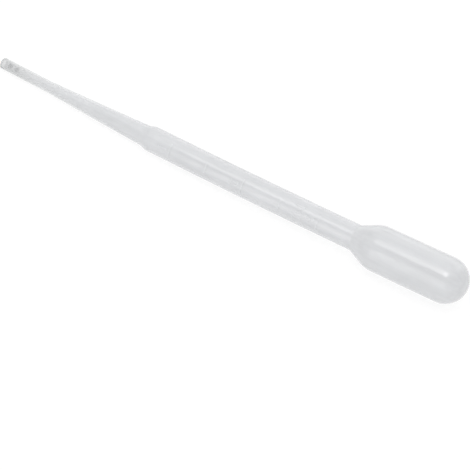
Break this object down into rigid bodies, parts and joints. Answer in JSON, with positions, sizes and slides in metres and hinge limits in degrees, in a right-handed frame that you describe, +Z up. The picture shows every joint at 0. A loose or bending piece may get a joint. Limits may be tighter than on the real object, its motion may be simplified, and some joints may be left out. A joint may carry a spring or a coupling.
{
  "type": "dropper pipette",
  "caption": "Dropper pipette blown in one piece of milky plastic: round-ended squeeze bulb, straight barrel with raised volume marks, and a long taper to an open tip.",
  "frame": {"origin": "middle of the pipette's footprint, on the surface that it lies on", "axes": "+X along the pipette from the open tip to the bulb, +Z up, and -Y to the front, the side that the marks are on and that the middle bows out to"},
  "size_m": [0.16, 0.0138, 0.0141],
  "materials": {
    "milky_polyethylene": "satin"
  },
  "bodies": {
    "root": {"pipette_body": "milky_polyethylene"}
  },
  "joints": []
}
